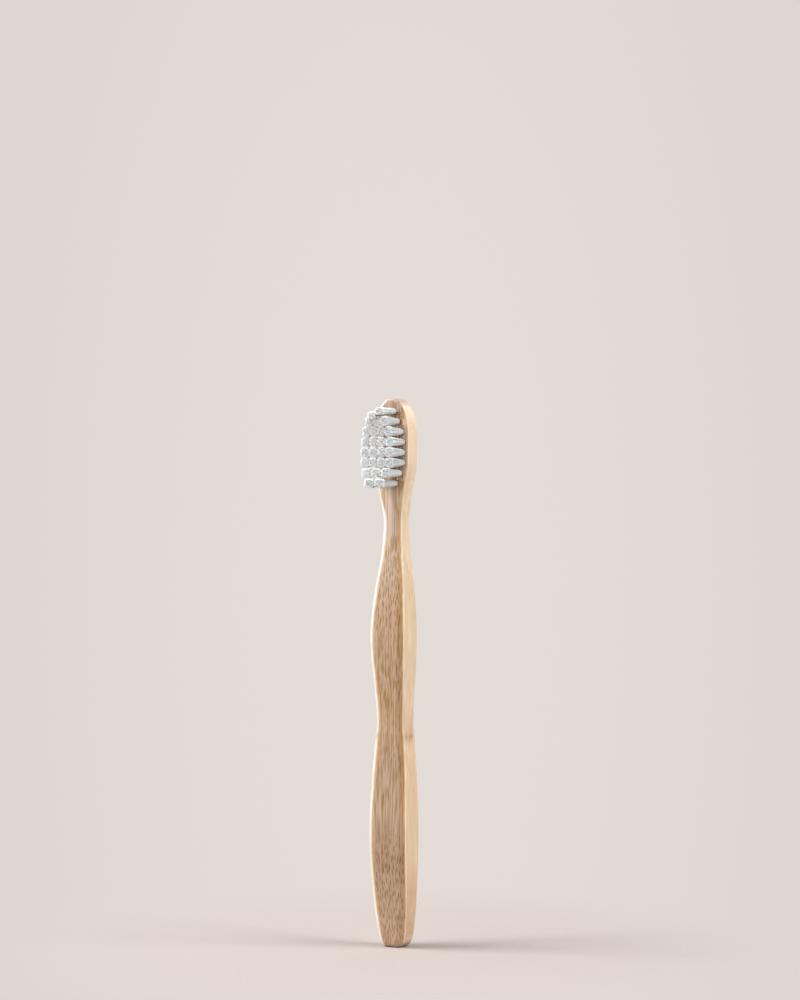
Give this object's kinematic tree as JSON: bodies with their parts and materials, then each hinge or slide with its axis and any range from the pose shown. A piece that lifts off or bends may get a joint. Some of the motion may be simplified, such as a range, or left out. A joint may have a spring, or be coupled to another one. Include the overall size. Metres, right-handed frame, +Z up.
{
  "type": "manual toothbrush",
  "caption": "Manual toothbrush with a contoured bamboo handle, flat along its back, and a small oval head with rows of pale nylon tufts.",
  "frame": {"origin": "centre of the tail's flat end, on the surface that the brush stands on", "axes": "+Z up the handle to the head, +Y out of the flat back, bristles along -Y, +X across the width"},
  "size_m": [0.012, 0.0142, 0.15],
  "materials": {
    "bamboo": "smooth sanded bamboo, lightly waxed, satin",
    "bristle_nylon": "pale translucent nylon filaments",
    "anchor_metal": "plain stamped strip"
  },
  "bodies": {
    "root": {"handle": "bamboo", "bristle_tuft_r1_c1": "bristle_nylon", "bristle_tuft_r1_c2": "bristle_nylon", "bristle_tuft_r2_c1": "bristle_nylon", "bristle_tuft_r2_c2": "bristle_nylon", "bristle_tuft_r2_c3": "bristle_nylon", "bristle_tuft_r3_c1": "bristle_nylon", "bristle_tuft_r3_c2": "bristle_nylon", "bristle_tuft_r3_c3": "bristle_nylon", "bristle_tuft_r3_c4": "bristle_nylon", "bristle_tuft_r4_c1": "bristle_nylon", "bristle_tuft_r4_c2": "bristle_nylon", "bristle_tuft_r4_c3": "bristle_nylon", "bristle_tuft_r4_c4": "bristle_nylon", "bristle_tuft_r5_c1": "bristle_nylon", "bristle_tuft_r5_c2": "bristle_nylon", "bristle_tuft_r5_c3": "bristle_nylon", "bristle_tuft_r5_c4": "bristle_nylon", "bristle_tuft_r6_c1": "bristle_nylon", "bristle_tuft_r6_c2": "bristle_nylon", "bristle_tuft_r6_c3": "bristle_nylon", "bristle_tuft_r6_c4": "bristle_nylon", "bristle_tuft_r7_c1": "bristle_nylon", "bristle_tuft_r7_c2": "bristle_nylon", "bristle_tuft_r7_c3": "bristle_nylon", "bristle_tuft_r8_c1": "bristle_nylon", "bristle_tuft_r8_c2": "bristle_nylon", "anchor_r1_c1": "anchor_metal", "anchor_r1_c2": "anchor_metal", "anchor_r2_c1": "anchor_metal", "anchor_r2_c2": "anchor_metal", "anchor_r2_c3": "anchor_metal", "anchor_r3_c1": "anchor_metal", "anchor_r3_c2": "anchor_metal", "anchor_r3_c3": "anchor_metal", "anchor_r3_c4": "anchor_metal", "anchor_r4_c1": "anchor_metal", "anchor_r4_c2": "anchor_metal", "anchor_r4_c3": "anchor_metal", "anchor_r4_c4": "anchor_metal", "anchor_r5_c1": "anchor_metal", "anchor_r5_c2": "anchor_metal", "anchor_r5_c3": "anchor_metal", "anchor_r5_c4": "anchor_metal", "anchor_r6_c1": "anchor_metal", "anchor_r6_c2": "anchor_metal", "anchor_r6_c3": "anchor_metal", "anchor_r6_c4": "anchor_metal", "anchor_r7_c1": "anchor_metal", "anchor_r7_c2": "anchor_metal", "anchor_r7_c3": "anchor_metal", "anchor_r8_c1": "anchor_metal", "anchor_r8_c2": "anchor_metal"}
  },
  "joints": []
}
